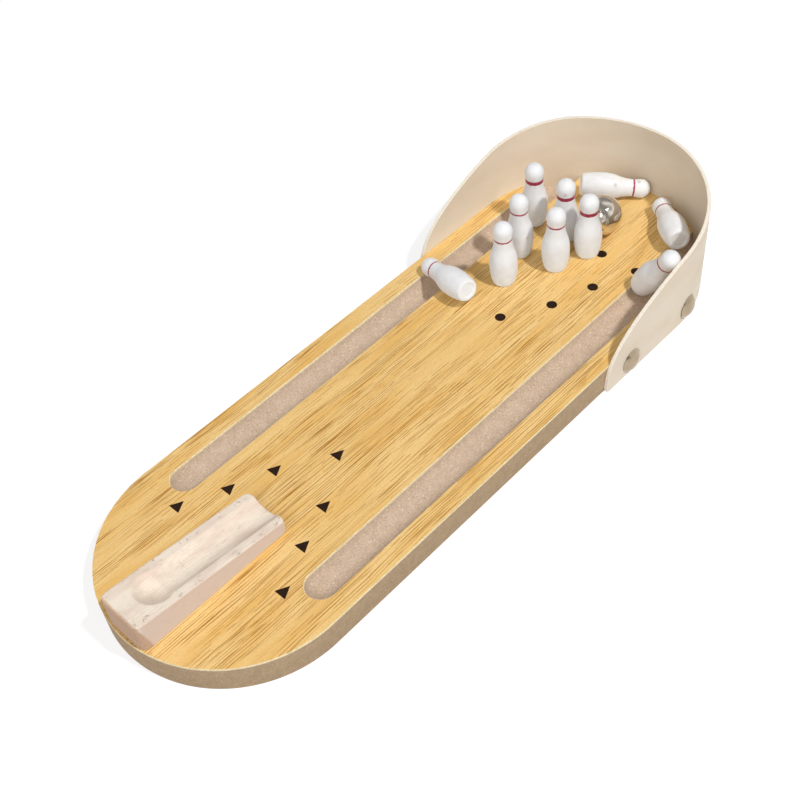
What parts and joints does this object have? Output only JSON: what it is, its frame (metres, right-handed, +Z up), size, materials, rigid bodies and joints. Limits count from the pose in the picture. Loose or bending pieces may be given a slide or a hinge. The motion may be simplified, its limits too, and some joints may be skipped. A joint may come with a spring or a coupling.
{
  "type": "table bowling game",
  "caption": "Table-top bowling lane with two gutters, a bent backstop sheet, a loose launch ramp, small turned pins and a steel ball to roll at them.",
  "frame": {"origin": "centre of the lane board's flat underside", "axes": "+X down the lane from the launch ramp to the pins, +Y to the player's left, +Z up"},
  "size_m": [0.3011, 0.1084, 0.0446],
  "materials": {
    "raw_fibreboard": "raw cut fibreboard edge, matte and finely speckled",
    "oak_print": "satin laminate printed with warm yellow oak grain along the lane",
    "cream_veneer": "thin bent cream veneer sheet, satin, with a paler cut edge",
    "tack_chrome": "polished dome heads",
    "pale_beech": "sanded pale pinkish beech with small pores, unvarnished",
    "white_paint": "turned wood dipped in satin white paint, with a thin crimson neck band",
    "polished_steel": "polished steel ball with faint scuffs"
  },
  "bodies": {
    "board": {"board_core": "raw_fibreboard", "lane_laminate": "oak_print", "backstop_sheet": "cream_veneer", "dome_tack_1": "tack_chrome", "dome_tack_2": "tack_chrome", "dome_tack_3": "tack_chrome", "dome_tack_4": "tack_chrome", "dome_tack_5": "tack_chrome"},
    "ramp": {"launch_ramp": "pale_beech"},
    "pin_1_body": {"pin_1": "white_paint"},
    "pin_2_body": {"pin_2": "white_paint"},
    "pin_3_body": {"pin_3": "white_paint"},
    "pin_4_body": {"pin_4": "white_paint"},
    "pin_5_body": {"pin_5": "white_paint"},
    "pin_6_body": {"pin_6": "white_paint"},
    "pin_7_body": {"pin_7": "white_paint"},
    "pin_8_body": {"pin_8": "white_paint"},
    "pin_9_body": {"pin_9": "white_paint"},
    "pin_10_body": {"pin_10": "white_paint"},
    "ball": {"steel_ball": "polished_steel"}
  },
  "joints": [
    {"name": "ramp_swivel", "type": "hinge", "parent": "board", "child": "ramp", "pos_m": [-0.11485, -0.00075, 0.01285], "axis": [0, 0, 1], "range_deg": [-15, 15]},
    {"name": "pin_1_lift", "type": "slide", "parent": "board", "child": "pin_1_body", "axis": [0, 0, 1], "range_m": [0, 0.05]},
    {"name": "pin_2_lift", "type": "slide", "parent": "board", "child": "pin_2_body", "axis": [0, 0, 1], "range_m": [0, 0.05]},
    {"name": "pin_3_lift", "type": "slide", "parent": "board", "child": "pin_3_body", "axis": [0, 0, 1], "range_m": [0, 0.05]},
    {"name": "pin_4_lift", "type": "slide", "parent": "board", "child": "pin_4_body", "axis": [0, 0, 1], "range_m": [0, 0.05]},
    {"name": "pin_5_lift", "type": "slide", "parent": "board", "child": "pin_5_body", "axis": [0, 0, 1], "range_m": [0, 0.05]},
    {"name": "pin_6_lift", "type": "slide", "parent": "board", "child": "pin_6_body", "axis": [0, 0, 1], "range_m": [0, 0.05]},
    {"name": "pin_7_lift", "type": "slide", "parent": "board", "child": "pin_7_body", "axis": [0, 0, 1], "range_m": [0, 0.05]},
    {"name": "pin_8_lift", "type": "slide", "parent": "board", "child": "pin_8_body", "axis": [0, 0, 1], "range_m": [0, 0.05]},
    {"name": "pin_9_lift", "type": "slide", "parent": "board", "child": "pin_9_body", "axis": [0, 0, 1], "range_m": [0, 0.05]},
    {"name": "pin_10_lift", "type": "slide", "parent": "board", "child": "pin_10_body", "axis": [0, 0, 1], "range_m": [0, 0.05]},
    {"name": "ball_lift", "type": "slide", "parent": "board", "child": "ball", "axis": [0, 0, 1], "range_m": [0, 0.05]}
  ]
}
